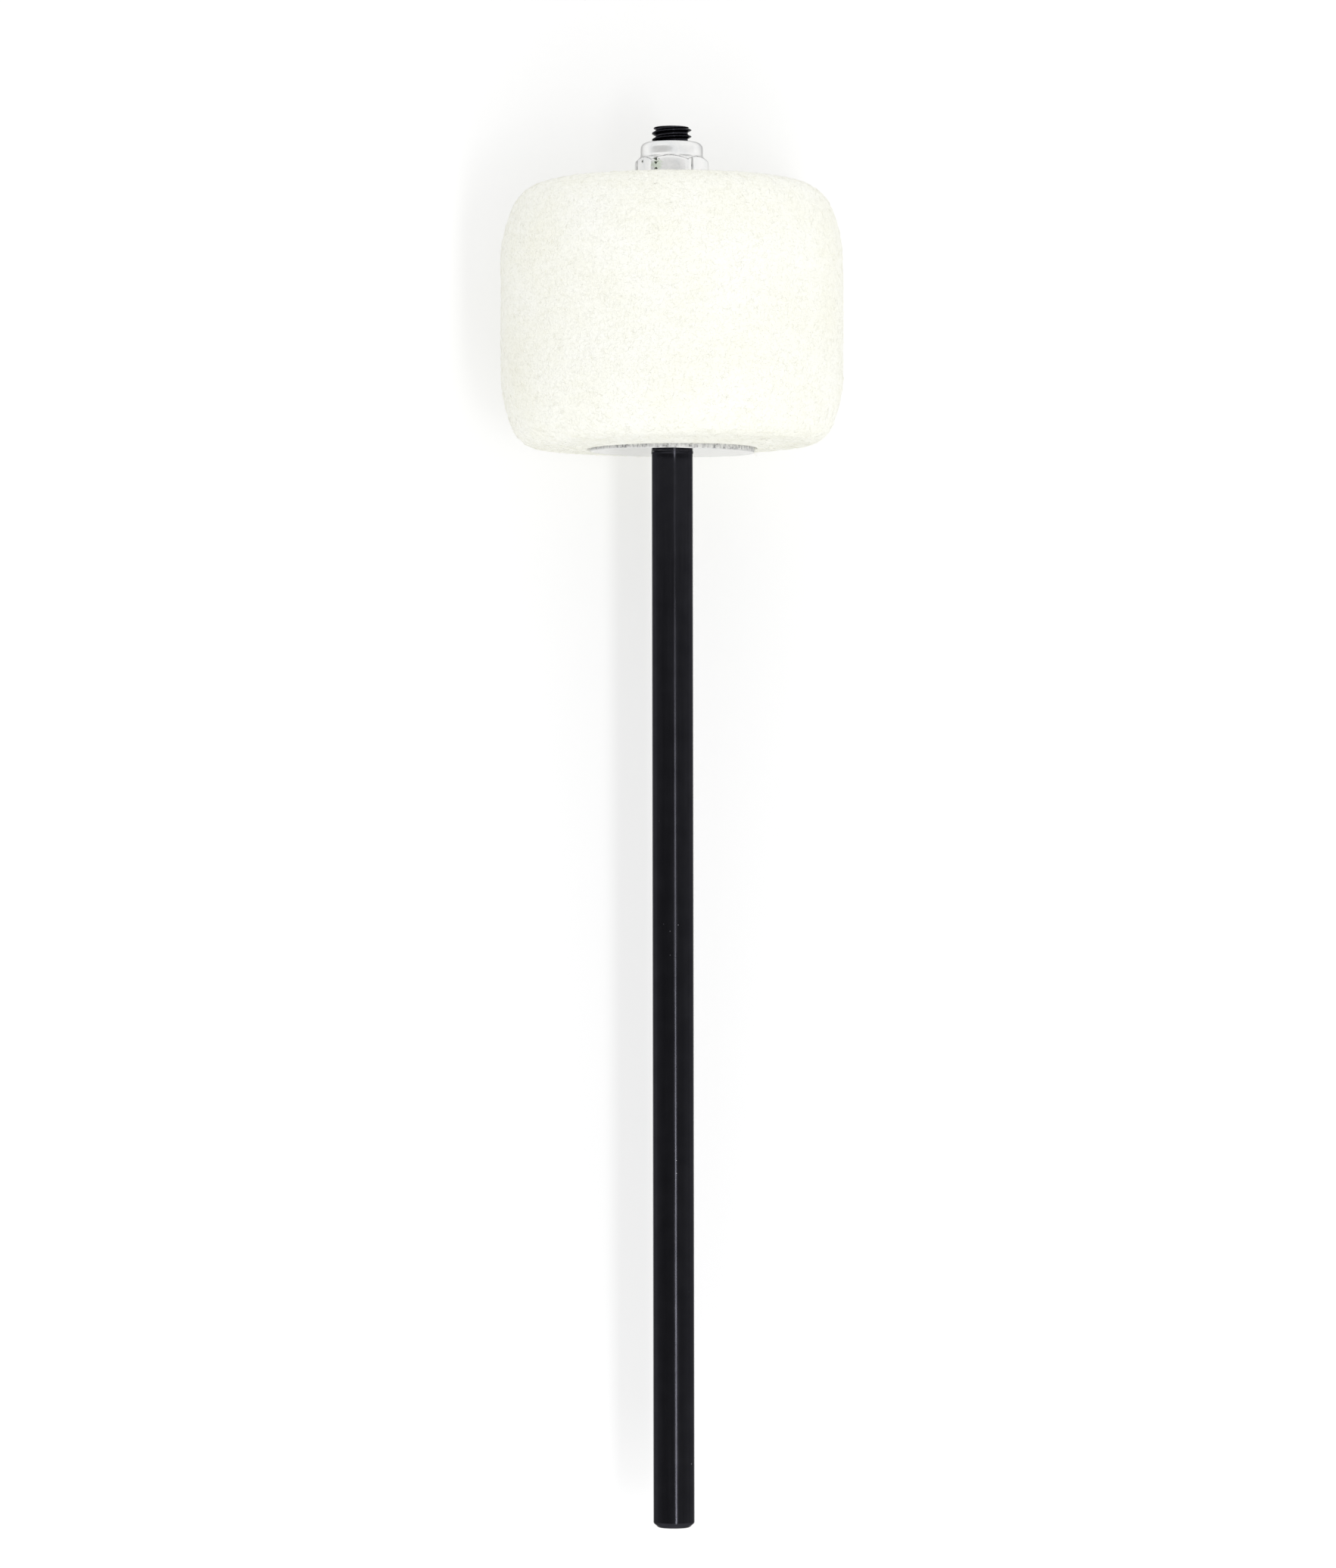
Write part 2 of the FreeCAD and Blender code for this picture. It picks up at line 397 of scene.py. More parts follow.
def felt_material():
    """Dense cream wool felt: soft patches, faint pressed layers and a fine tangle of fibres."""
    patch_size, band_size, tangle_size, tangle_height = 0.012, 0.006, 0.0006, 0.00025
    material, tree, shader, place = new_material("felt_wool", {
        "Roughness": 0.95,
        "Specular IOR Level": 0.15,
    })
    patches = ramp(tree, noise_of(tree, place, patch_size, detail=4.0), [
        (0.3, (0.935, 0.932, 0.85)),
        (0.55, (0.95, 0.95, 0.885)),
        (0.75, (0.96, 0.96, 0.91)),
    ])
    bands = noise_of(tree, stretched(tree, place, (1, 1, layer_flatness)), band_size, distortion=0.4)
    layers = ramp(tree, bands, [
        (0.35, (0.986, 0.985, 0.972)),
        (0.6, (1.0, 1.0, 1.0)),
    ])
    threads = noise_of(tree, place, tangle_size, detail=2.0, distortion=1.2)
    tangle = ramp(tree, threads, [(0.3, (0.98, 0.98, 0.966)), (0.6, (1.0, 1.0, 1.0))])
    layered = mix(tree, 1.0, patches, layers, "MULTIPLY")
    tree.links.new(mix(tree, 1.0, layered, tangle, "MULTIPLY"), shader.inputs["Base Color"])
    bump(tree, shader, threads, strength=1.0, distance=tangle_height)
    return material


def fibre_material(name, colour):
    """One wool fibre's colour."""
    return new_material(name, {
        "Base Color": (*colour, 1.0),
        "Roughness": 0.8,
        "Specular IOR Level": 0.25,
    })[0]


def black_material():
    """Satin black oxide, with faint drawn streaks along the rod and a few specks of dust."""
    cloud_size, streak_size, streak_flatness, pit_size, pit_depth = 0.004, 0.0007, 0.04, 0.0011, 0.00002
    speck_core, speck_rim, dust_colour = 0.012, 0.034, (0.2, 0.2, 0.22, 1.0)
    material, tree, shader, place = new_material("satin_black", {"Specular Tint": (0.5, 0.5, 0.5, 1.0)})
    shade = ramp(tree, noise_of(tree, place, cloud_size, detail=5.0), [
        (0.3, (0.025, 0.025, 0.03)),
        (0.75, (0.033, 0.033, 0.039)),
    ])
    dust = add_node(tree, "ShaderNodeTexVoronoi", values={"Scale": 260.0})
    tree.links.new(place, dust.inputs["Vector"])
    speck = ranged(tree, dust.outputs["Distance"], speck_core, speck_rim, 1.0, 0.0)
    tree.links.new(mix(tree, speck, shade, dust_colour), shader.inputs["Base Color"])
    tree.links.new(ranged(tree, speck, 0.0, 1.0, 1.0, 0.0), shader.inputs["Metallic"])
    streaks = noise_of(tree, stretched(tree, place, (1, 1, streak_flatness)), streak_size)
    tree.links.new(ranged(tree, streaks, 0.3, 0.7, 0.12, 0.21), shader.inputs["Roughness"])
    bump(tree, shader, noise_of(tree, place, pit_size), strength=0.06, distance=pit_depth)
    return material


def near_spots(tree, place, spots):
    """1 at the middle of each spot and 0 outside them, with ragged rims. A spot is a centre and a reach."""
    ragged_size, core, inside, outside = 0.0005, 0.7, 0.98, 0.88
    ragged = noise_of(tree, place, ragged_size, detail=4.0, distortion=1.0)
    whole = None
    for centre, reach in spots:
        apart = add_node(tree, "ShaderNodeVectorMath", {"operation": "DISTANCE"}, {1: centre})
        tree.links.new(place, apart.inputs[0])
        near = ranged(tree, apart.outputs["Value"], 0, reach, core, 0.0)
        whole = near if whole is None else combined(tree, "MAXIMUM", whole, near)
    return ranged(tree, combined(tree, "ADD", whole, ragged), outside, inside, 0.0, 1.0)


def zinc_material(name, tone, slant, gloss, spots=(), tarnish=()):
    """Bright zinc plate, slightly cloudy, with dark spots and a tarnished patch if it has any.

    slant is how brightly it mirrors where it is seen at a slant, and gloss is its range of roughness.
    """
    cloud_size, pit_size, pit_depth = 0.003, 0.0006, 0.00004
    spot_colour, tarnish_colour = (0.09, 0.1, 0.08, 1.0), (0.76, 0.82, 0.71, 1.0)
    material, tree, shader, place = new_material(name, {
        "Metallic": 1.0,
        "Specular IOR Level": 0.0,
        "Specular Tint": (slant, slant, slant, 1.0),
    })
    clouds = noise_of(tree, place, cloud_size, detail=5.0, distortion=0.8)
    plate = ramp(tree, clouds, [
        (0.3, tuple(tone * share for share in (0.9, 0.91, 0.91))),
        (0.55, (tone, tone, tone * 0.985)),
        (0.75, tuple(tone * share for share in (1.06, 1.05, 1.04))),
    ])
    if tarnish:
        plate = mix(tree, near_spots(tree, place, tarnish), plate, tarnish_colour)
    if spots:
        plate = mix(tree, near_spots(tree, place, spots), plate, spot_colour)
    tree.links.new(plate, shader.inputs["Base Color"])
    tree.links.new(ranged(tree, clouds, 0.3, 0.7, *gloss), shader.inputs["Roughness"])
    pits = noise_of(tree, place, pit_size, detail=4.0)
    bump(tree, shader, pits, strength=0.22, distance=pit_depth)
    return material


def sheared_material(name, dark, middling, pale):
    """Cut zinc at a washer's edge, and the dark lines painted along the nut's edges as shade in place of
    dark reflections: duller than the plate, and grainy.
    """
    cut_size, cut_flatness, cut_depth = 0.00045, 0.6, 0.00008
    material, tree, shader, place = new_material(name, {"Metallic": 0.2})
    grain = noise_of(tree, stretched(tree, place, (1, 1, cut_flatness)), cut_size, detail=4.0)
    shade = ramp(tree, grain, [
        (0.36, (dark, dark, dark)),
        (0.43, (middling, middling, middling)),
        (0.64, (pale, pale, pale * 0.98)),
    ])
    tree.links.new(shade, shader.inputs["Base Color"])
    tree.links.new(ranged(tree, grain, 0.3, 0.7, 0.35, 0.55), shader.inputs["Roughness"])
    bump(tree, shader, grain, strength=0.5, distance=cut_depth)
    return material


def nylon_material():
    """Natural nylon: milky and faintly mottled."""
    mottle_size, pit_size, pit_depth = 0.0015, 0.0003, 0.00003
    material, tree, shader, place = new_material("nylon_natural", {"Roughness": 0.42})
    mottle = noise_of(tree, place, mottle_size)
    shade = ramp(tree, mottle, [(0.3, (0.84, 0.84, 0.8)), (0.7, (0.9, 0.9, 0.87))])
    tree.links.new(shade, shader.inputs["Base Color"])
    bump(tree, shader, noise_of(tree, place, pit_size), strength=0.15, distance=pit_depth)
    return material


def make_rod(black):
    """The rod: a bevelled tail, the plain shank, and the stud with its thread up to a bevelled end."""
    radius, seat, top = rod_high.x, lower_low.z, rod_high.z
    round_in = tail_edge_round
    bevel_end = (radius - round_in / 2, tail_bevel - round_in / 4)
    shank = joined([
        line_points((0, 0), (radius - tail_bevel - round_in, 0), rod_end_step),
        line_points((radius - tail_bevel, round_in / 2), bevel_end, wall_step),
        np.array([(radius, tail_bevel + round_in)]),
        line_points((radius, tail_bevel + 2 * round_in), (radius, seat - shoulder_burr * 6), shank_step),
        np.array([(radius, seat - shoulder_burr * 4), (radius + shoulder_burr, seat - shoulder_burr * 2)]),
        np.array([(radius + shoulder_burr, seat - shoulder_burr / 2), (radius + shoulder_burr / 2, seat)]),
    ])
    angles = even_angles(rod_sides)
    shown = upper_low.z - thread_pitch
    hidden_levels = np.linspace(seat, shown, int((shown - seat) / thread_pitch * hidden_rows_in_turn))[:-1]
    levels = np.linspace(shown, top, int((top - shown) / thread_pitch * rows_in_turn) + 1)
    levels = np.concatenate([hidden_levels, levels])
    end_radius = thread_crest - thread_end_bevel
    limit = end_radius + (top - levels).reshape(-1, 1)
    stud = polar_points(np.minimum(thread_radii(angles, levels, 0), limit), levels, angles)
    cap = turned_points(line_points((end_radius * stud_cap_share, top), (0, top), rod_end_step), rod_sides)
    points = np.concatenate([turned_points(shank, rod_sides), stud, cap])
    faces = grid_faces(len(points), rod_sides, False)
    make_piece("rod", points, faces, "shaft", "shaft", [black], rod_sharp)


def make_washer(name, low, high, hole, lean, body, node, materials):
    """A stamped washer with softened rims, whose cut edge is duller than its faces.

    lean is its slope along X and Y, and its two materials are those of its faces and of its edge.
    """
    edge = washer_edge_round
    inset, inner = washer_radius - edge, hole + edge
    section = joined([
        line_points((inner, low), (inset, low), washer_face_step),
        arc_points((inset, low + edge), edge, -90, 0, edge_step),
        line_points((washer_radius, low + edge), (washer_radius, high - edge), wall_step),
        arc_points((inset, high - edge), edge, 0, 90, edge_step),
        line_points((inset, high), (inner, high), washer_face_step),
        arc_points((inner, high - edge), edge, 90, 180, edge_step),
        arc_points((inner, low + edge), edge, 180, 270, edge_step)[:-1],
    ])
    faces = grid_faces(len(section), washer_sides, True)
    points = turned_points(section, washer_sides)
    points[..., 2] += points[..., 0] * lean[0] + points[..., 1] * lean[1]
    piece = make_piece(name, points, faces, body, node, materials, washer_sharp)
    for face in piece.data.polygons:
        if math.hypot(face.center.x, face.center.y) > washer_radius - edge * washer_cut_share:
            face.material_index = 1


def felt_end(face, floor, edge, way):
    """One end of the felt's half section, from the bore out to the side. way is 1 up, -1 down."""
    recess, radius = washer_radius + felt_washer_gap, felt_high.x
    side, tilt = math.radians(felt_side_angle), math.radians(felt_face_tilt)
    lip_centre = (recess + felt_lip, face - way * felt_lip)
    edge_radius = radius - felt_side_radius + (felt_side_radius - edge) * math.cos(side)
    face_start = lip_centre[0] + felt_lip * math.sin(tilt)
    face_end = edge_radius + edge * math.sin(tilt)
    drop = (face_end - face_start) * math.tan(tilt) + felt_lip * (1 - math.cos(tilt))
    edge_level = face - way * (drop + edge * math.cos(tilt))
    side_level = edge_level - way * (felt_side_radius - edge) * math.sin(side)
    flat = 90 - felt_face_tilt
    lip = arc_points(lip_centre, felt_lip, way * 180, way * flat, felt_step / 2)
    rounded = arc_points((edge_radius, edge_level), edge, way * flat, way * felt_side_angle, felt_step)
    side_centre = (radius - felt_side_radius, side_level)
    barrel = arc_points(side_centre, felt_side_radius, way * felt_side_angle, 0, felt_step)
    return [
        line_points((felt_bore, floor), (recess, floor), felt_floor_step),
        line_points((recess, floor), lip[0], felt_step),
        lip,
        line_points(lip[-1], rounded[0], felt_step),
        rounded,
        barrel,
    ]


def felt_section():
    """The felt's half section, and how many of its first and last points lie hidden round the washers."""
    lower = felt_end(felt_low.z, lower_high.z, felt_bottom_edge, -1)
    upper = felt_end(felt_high.z, upper_low.z, felt_top_edge, 1)
    side = line_points(lower[-1][-1], upper[-1][-1], felt_step)
    section = joined(lower + [side] + [run[::-1] for run in reversed(upper)])
    first = len(joined(lower[:2]))
    last = len(section) - len(joined(upper[:2]))
    return section, first, last


def felt_normals(section, sides):
    """The outward direction at each point of the felt's grid."""
    along = np.roll(section, -1, axis=0) - np.roll(section, 1, axis=0)
    along /= np.linalg.norm(along, axis=1)[:, None]
    angles = even_angles(sides)
    out, up = along[:, 1:], -along[:, :1]
    shape = (len(section), sides)
    return np.stack([out * np.cos(angles), out * np.sin(angles), np.broadcast_to(up, shape)], axis=-1)


def felt_relief(point):
    """How far the felt's surface stands out at a point: broad lumps, pressed layers and a fine grain."""
    lumps = noise.noise(point / lump_size) * lump_height
    flat = Vector((point.x, point.y, point.z * layer_flatness))
    layers = noise.noise(flat / layer_size) * layer_height
    return lumps + layers + noise.noise(point / grain_size) * grain_height


def felt_grid():
    """The felt's surface points and their normals, and the rows between which it shows."""
    section, first, last = felt_section()
    points, normals = turned_points(section, felt_sides), felt_normals(section, felt_sides)
    reach = np.hypot(points[..., 0], points[..., 1])
    shown = np.zeros(len(section))
    shown[first:last] = 1.0
    fade = np.clip((reach - washer_radius - felt_washer_gap) / felt_lip, 0, 1) * shown[:, None]
    relief = np.array([felt_relief(Vector(point)) for point in points.reshape(-1, 3)])
    points += normals * ((relief.reshape(fade.shape) - felt_inset) * fade)[..., None]
    dimple = np.clip(1 - (reach - washer_radius - felt_lip) / dimple_reach, 0, 1) ** 2
    lean = dimple_share + dimple_lean_share * np.cos(even_angles(felt_sides))
    under = points[..., 2] < lower_high.z
    depth = (lower_high.z - points[..., 2]) * under
    points[..., 2] -= depth * dimple * lean
    rising = np.clip((reach - washer_radius) / dimple_reach, 0, 1) * np.clip(-normals[..., 2], 0, 1)
    points[..., 2] += uneven_height * rising * (1 + np.cos(even_angles(felt_sides)))
    return points, normals, first, last


def make_felt(wool, points):
    """The felt block: a closed skin with its recesses and bore."""
    faces = grid_faces(len(points), felt_sides, True)
    felt = make_piece("felt_block", points, faces, "head", "felt_head", [wool], felt_sharp)


def fibre_roots(points, normals, rows, count, dice):
    """Random places over some rows of the felt's grid, evenly by area, with the outward direction there."""
    beside = np.roll(points, -1, axis=1)
    areas = np.linalg.norm(beside[rows] - points[rows], axis=-1)
    areas = areas * np.linalg.norm(points[rows + 1] - points[rows], axis=-1)
    cells = dice.choice(areas.size, count, p=areas.ravel() / areas.sum())
    row, column = rows[cells // felt_sides], cells % felt_sides
    across, along = dice.random((2, count, 1))
    lower = points[row, column] * (1 - across) + beside[row, column] * across
    upper = points[row + 1, column] * (1 - across) + beside[row + 1, column] * across
    return lower * (1 - along) + upper * along, normals[row, column]


def fibre_points(roots, normals, dice):
    """Eight points for each fibre: its two ends and two three-sided rings between them."""
    count = len(roots)
    level = np.cross(normals, (0, 0, 1.0))
    level /= np.maximum(np.linalg.norm(level, axis=1), least_norm)[:, None]
    rise = np.cross(level, normals)
    heading = dice.uniform(0, 2 * np.pi, (count, 1))
    way = level * np.cos(heading) + rise * np.sin(heading)
    side = np.cross(normals, way)
    length = dice.uniform(*fibre_length, (count, 1))
    lift = dice.uniform(*fibre_lift, (count, 1))
    bend = length * dice.normal(0, fibre_bend, (count, 1))
    loose = dice.random((count, 1)) < loose_share
    tip_lift = np.where(loose, dice.uniform(*loose_lift, (count, 1)), -fibre_root_depth)
    ends = [
        roots - normals * fibre_root_depth,
        roots + way * length + side * bend * tip_bend_share + normals * tip_lift,
    ]
    lifts = [lift, np.maximum(lift, tip_lift * loose_rise_share)]
    middles = [
        roots + way * length * share + side * bend + normals * height
        for share, height in zip(fibre_ring_places, lifts)
    ]
    rings = []
    for middle in middles:
        for corner in range(3):
            turn = 2 * math.pi * corner / 3
            rings.append(middle + fibre_radius * (side * math.cos(turn) + normals * math.sin(turn)))
    return np.stack([ends[0], *rings, ends[1]], axis=1)


def make_fibres(name, points, normals, rows, count, dice, colours):
    """Loose wool fibres that lie tangled on the felt, most of them with both ends in it."""
    roots, outward = fibre_roots(points, normals, rows, count, dice)
    whole = fibre_points(roots, outward, dice)
    faces = []
    for corner in range(3):
        after = (corner + 1) % 3
        faces.append((0, 1 + after, 1 + corner))
        faces.append((7, 4 + corner, 4 + after))
        faces.append((1 + corner, 1 + after, 4 + after, 4 + corner))
    starts = range(0, 8 * count, 8)
    whole_faces = [tuple(start + index for index in face) for start in starts for face in faces]
    piece = new_object(name, whole.reshape(-1, 3).tolist(), whole_faces, colours)
    piece.data.shade_smooth()
    kinds = np.repeat(dice.choice(len(colours), count, p=fibre_colour_shares), len(faces))
    piece.data.polygons.foreach_set("material_index", kinds.astype(np.int32))
    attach(piece, "head")
    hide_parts("felt_head")


def make_head(wool, colours):
    """The felt block with the fibres on its side and on its two ends."""
    points, normals, first, last = felt_grid()
    make_felt(wool, points)
    dice = np.random.default_rng(fibre_seed)
    rows = np.arange(first, last - 1)
    upright = np.abs(normals[rows, 0, 2]) > end_slope
    make_fibres("felt_side_fibres", points, normals, rows[~upright], side_fibres, dice, colours)
    make_fibres("felt_end_fibres", points, normals, rows[upright], end_fibres, dice, colours)


def hexagon_radii(angles):
    """Distance from the axis to the nut's flats, with softened corners."""
    turn = np.mod(angles - nut_corner, math.pi / 3) - math.pi / 6
    corner = nut_flat / math.cos(math.pi / 6) - nut_corner_round
    return soft_least(nut_flat / np.cos(turn), corner, nut_corner_round)


def nut_angles():
    """Angles round the nut, closer together at its corners than on its flats."""
    share = np.arange(columns_in_flat) / columns_in_flat
    crowded = share - corner_crowding * np.sin(2 * math.pi * share)
    return nut_corner + np.concatenate([(side + crowded) * math.pi / 3 for side in range(6)])


def nut_foot(angles, low, high):
    """The hexagon's outside from its lower face to its upper one, with the arched bevels of both ends."""
    face_radius = nut_flat - nut_bevel_inset
    lower = low + np.linspace(0, foot_bevel_reach, foot_bevel_rows)
    middle = np.linspace(low + foot_wall_start, high - foot_wall_start, foot_wall_rows)
    upper = high - np.linspace(foot_bevel_reach, fillet_drop, foot_bevel_rows)
    levels = np.concatenate([lower, middle, upper])
    from_end = np.minimum(levels - low, high - levels).reshape(-1, 1)
    cone = face_radius + from_end / math.tan(nut_bevel_angle)
    return polar_points(soft_least(hexagon_radii(angles), cone, nut_edge_blur), levels, angles)


def nut_fillet(collar_outer, break_level):
    """The hollow curve from the hexagon's upper bevel into the collar."""
    start_radius = nut_flat - nut_bevel_inset + fillet_drop / math.tan(nut_bevel_angle)
    start = np.array((start_radius, break_level - fillet_drop))
    end = np.array((collar_outer, break_level + fillet_rise))
    bend = np.array((collar_outer, break_level))
    share = np.linspace(0, 1, fillet_rows)[1:, None]
    return (1 - share) ** 2 * start + 2 * share * (1 - share) * bend + share ** 2 * end


def paint_shade_lines(nut, break_level):
    """Puts the darker material along the hexagon's upper arches and on a strip by every other corner:
    painted shade lines in place of the dark reflections at these edges.
    """
    for face in nut.data.polygons:
        x, y, level = face.center
        if math.hypot(x, y) < nut_flat * shade_line_reach_share or level > break_level:
            continue
        side, past_corner = divmod((math.atan2(y, x) - nut_corner) % (2 * math.pi), math.pi / 3)
        flat = nut_flat / math.cos(past_corner - math.pi / 6)
        cone = nut_flat - nut_bevel_inset + (break_level - level) / math.tan(nut_bevel_angle)
        at_arch = abs(flat - cone) < shade_line_width
        at_corner = abs(past_corner - shade_line_corner_shift) * nut_flat < shade_line_corner_width and cone > flat
        if at_arch or (at_corner and side % 2 == 0):
            face.material_index = 1


def nut_spot(across, rise):
    """A place on the nut's flats, across its front face or round its corner, and up from its foot."""
    half = nut_flat * math.tan(math.pi / 6)
    bent = max(0, abs(across) - half) * math.tan(math.pi / 3)
    place = Vector((across, bent - nut_flat, nut_low.z + rise))
    return Matrix.Rotation(nut_corner - math.pi / 3, 3, "Z") @ place


def make_nut(zinc, shade_line_zinc):
    """The lock nut: hexagon, round collar with a rolled lip over the ring's pocket, and a tapped bore."""
    angles = nut_angles()
    low, top, break_level = nut_low.z, nut_high.z, ring_low.z
    collar_outer = max(ring_high.x + collar_wall, cad_radii("lock_nut", break_level + collar_foot, top)[1])
    pocket, bore_edge = collar_outer - collar_wall, thread_crest + thread_gap + pocket_inset
    roll_centre = (collar_outer - collar_roll, top - collar_roll)
    lip_end = (roll_centre[0], top - collar_lip / 2)
    collar = joined([
        nut_fillet(collar_outer, break_level),
        line_points((collar_outer, break_level + fillet_rise), (collar_outer, roll_centre[1]), wall_step),
        arc_points(roll_centre, collar_roll, 0, 90, edge_step),
        arc_points(lip_end, collar_lip / 2, 90, 270, edge_step),
        line_points((lip_end[0], top - collar_lip), (pocket, top - collar_lip), wall_step),
        line_points((pocket, top - collar_lip), (pocket, break_level), pocket_step),
        line_points((pocket, break_level), (bore_edge, break_level), pocket_step),
    ])
    mouth_radius = thread_crest + thread_gap + nut_mouth_bevel
    bore_levels = np.linspace(break_level, low, int((break_level - low) / thread_pitch * rows_in_turn) + 1)
    mouth = (mouth_radius - (bore_levels - low)).reshape(-1, 1)
    bore = np.maximum(thread_radii(angles, bore_levels, thread_gap), mouth)
    points = np.concatenate([
        nut_foot(angles, low, break_level),
        polar_points(collar[:, :1], collar[:, 1], angles),
        polar_points(bore, bore_levels, angles),
    ])
    faces = grid_faces(len(points), len(angles), True)
    nut = make_piece("lock_nut_steel", points, faces, "nut", "lock_nut",
                     [zinc, shade_line_zinc], nut_sharp)
    # Painted shade: dark lines along the arches and by the corners, in place of dark reflections.
    paint_shade_lines(nut, break_level)


def make_ring(nylon):
    """The nylon ring, with the thread's form pressed into its bore."""
    low, high, edge = ring_low.z, ring_high.z, ring_edge_round
    outer = ring_high.x
    angles = even_angles(rod_sides)
    inner = thread_crest + thread_gap + edge
    outside = joined([
        line_points((inner, low), (outer - edge, low), ring_face_step),
        arc_points((outer - edge, low + edge), edge, -90, 0, edge_step),
        arc_points((outer - edge, high - edge), edge, 0, 90, edge_step),
        line_points((outer - edge, high), (inner, high), ring_face_step),
    ])
    levels = np.linspace(high - edge / 2, low + edge / 2, int((high - low) / thread_pitch * rows_in_turn))
    bore = polar_points(thread_radii(angles, levels, thread_gap), levels, angles)
    points = np.concatenate([polar_points(outside[:, :1], outside[:, 1], angles), bore])
    faces = grid_faces(len(points), rod_sides, True)
    make_piece("nylon_insert", points, faces, "nut", "nylon_ring", [nylon], ring_sharp)


def seen_directly(tree):
    """1 for rays from the camera, and for those that a gloss or glass sends on."""
    light_path = add_node(tree, "ShaderNodeLightPath")
    total = light_path.outputs["Is Camera Ray"]
    for name in ("Is Glossy Ray", "Is Transmission Ray"):
        total = combined(tree, "MAXIMUM", total, light_path.outputs[name])
    return total


def mix_shaders(tree, factor, first, second):
    """Two shaders mixed by a factor."""
    node = add_node(tree, "ShaderNodeMixShader")
    tree.links.new(factor, node.inputs["Fac"])
    tree.links.new(first, node.inputs[1])
    tree.links.new(second, node.inputs[2])
    return node.outputs["Shader"]


def bare_material(name):
    """A material without nodes, and its tree."""
    material = bpy.data.materials.new(name)
    material.use_nodes = True
    material.node_tree.nodes.clear()
    return material, material.node_tree


def backdrop_material():
    """White paper that keeps a light shadow, and that can be seen through from behind."""
    material, tree = bare_material("white_paper")
    paper = add_node(tree, "ShaderNodeBsdfDiffuse", values={"Color": (0.95, 0.95, 0.95, 1.0)})
    clear = add_node(tree, "ShaderNodeBsdfTransparent")
    behind = add_node(tree, "ShaderNodeNewGeometry").outputs["Backfacing"]
    output = add_node(tree, "ShaderNodeOutputMaterial")
    shown = mix_shaders(tree, behind, paper.outputs["BSDF"], clear.outputs["BSDF"])
    tree.links.new(shown, output.inputs["Surface"])
    return material


def make_backdrop():
    """A large sheet of paper just behind the head, facing the camera. Room light passes through it."""
    half, level, behind = backdrop_half_width, camera_place.z, felt_high.y + backdrop_gap
    corners = [(-half, behind, level - half), (half, behind, level - half),
               (half, behind, level + half), (-half, behind, level + half)]
    backdrop = new_object("backdrop", corners, [(0, 1, 2, 3)], [backdrop_material()])
    backdrop.visible_diffuse = backdrop.visible_shadow = False


def make_world(fill):
    """A white room: an even fill light, seen as plain white."""
    world = bpy.data.worlds.new("white_room")
    bpy.context.scene.world = world
    world.use_nodes = True
    tree = world.node_tree
    tree.nodes.clear()
    light = add_node(tree, "ShaderNodeBackground", values={"Color": white, "Strength": fill})
    plain = add_node(tree, "ShaderNodeBackground", values={"Color": white, "Strength": 1.0})
    output = add_node(tree, "ShaderNodeOutputWorld")
    shown = mix_shaders(tree, seen_directly(tree), light.outputs["Background"], plain.outputs["Background"])
    tree.links.new(shown, output.inputs["Surface"])


def make_lamp(name, azimuth, elevation, distance, width, height, level, mirrored):
    """An area lamp aimed at the object's middle. level is how brightly it lights white paper facing it."""
    middle = (cad_low + cad_high) / 2
    turn, tilt = math.radians(azimuth), math.radians(elevation)
    towards = Vector((math.sin(turn) * math.cos(tilt), -math.cos(turn) * math.cos(tilt), math.sin(tilt)))
    light = bpy.data.lights.new(name, "AREA")
    light.shape = "RECTANGLE"
    light.size, light.size_y = width, height
    light.energy = level * math.pi ** 2 * distance ** 2
    lamp = bpy.data.objects.new(name, light)
    lamp.location = middle + towards * distance
    lamp.rotation_euler = towards.to_track_quat("Z", "Y").to_euler()
    lamp.visible_camera, lamp.visible_glossy = False, mirrored
    bpy.context.scene.collection.objects.link(lamp)


def make_card(name, points, faces, material):
    """A card that only shows as a reflection in the metal and on the rod."""
    card = new_object(name, points, faces, [material])
    card.visible_camera = card.visible_diffuse = card.visible_transmission = card.visible_shadow = False
    return card


def card_material(name):
    """A glowing material for a card, with its tree, its own coordinates and the socket for its shade."""
    material, tree = bare_material(name)
    place = add_node(tree, "ShaderNodeTexCoord").outputs["Object"]
    glow = add_node(tree, "ShaderNodeEmission", values={"Color": white})
    output = add_node(tree, "ShaderNodeOutputMaterial")
    tree.links.new(glow.outputs["Emission"], output.inputs["Surface"])
    return material, tree, place, glow.inputs["Strength"]


def dark_card_material(left, right, end_rise, near_rise):
    """Dark grey, paler from left to right, paler again towards the sides and palest beside the rod."""
    material, tree, place, strength = card_material("dark_card")
    axes = add_node(tree, "ShaderNodeSeparateXYZ")
    tree.links.new(place, axes.inputs["Vector"])
    shade = ranged(tree, axes.outputs["X"], -card_distance, card_distance, left, right)
    rise = ranged(tree, axes.outputs["Y"], -side_fade_share * card_distance, 0, 0, end_rise)
    near = add_node(tree, "ShaderNodeTexGradient", {"gradient_type": "SPHERICAL"})
    tree.links.new(stretched(tree, place, (1 / wing_fade, 1 / wing_fade, 0)), near.inputs["Vector"])
    glow = ranged(tree, near.outputs["Fac"], 0, 1, 0, near_rise)
    total = combined(tree, "ADD", combined(tree, "ADD", shade, rise), glow)
    tree.links.new(total, strength)
    return material


def grey_card_material(shade):
    """Grey in the middle, fading to white at the rim."""
    material, tree, place, strength = card_material("grey_card")
    round_fade = add_node(tree, "ShaderNodeTexGradient", {"gradient_type": "SPHERICAL"})
    tree.links.new(place, round_fade.inputs["Vector"])
    tree.links.new(ranged(tree, round_fade.outputs["Fac"], 0, round_fade_share, 1.0, shade), strength)
    return material


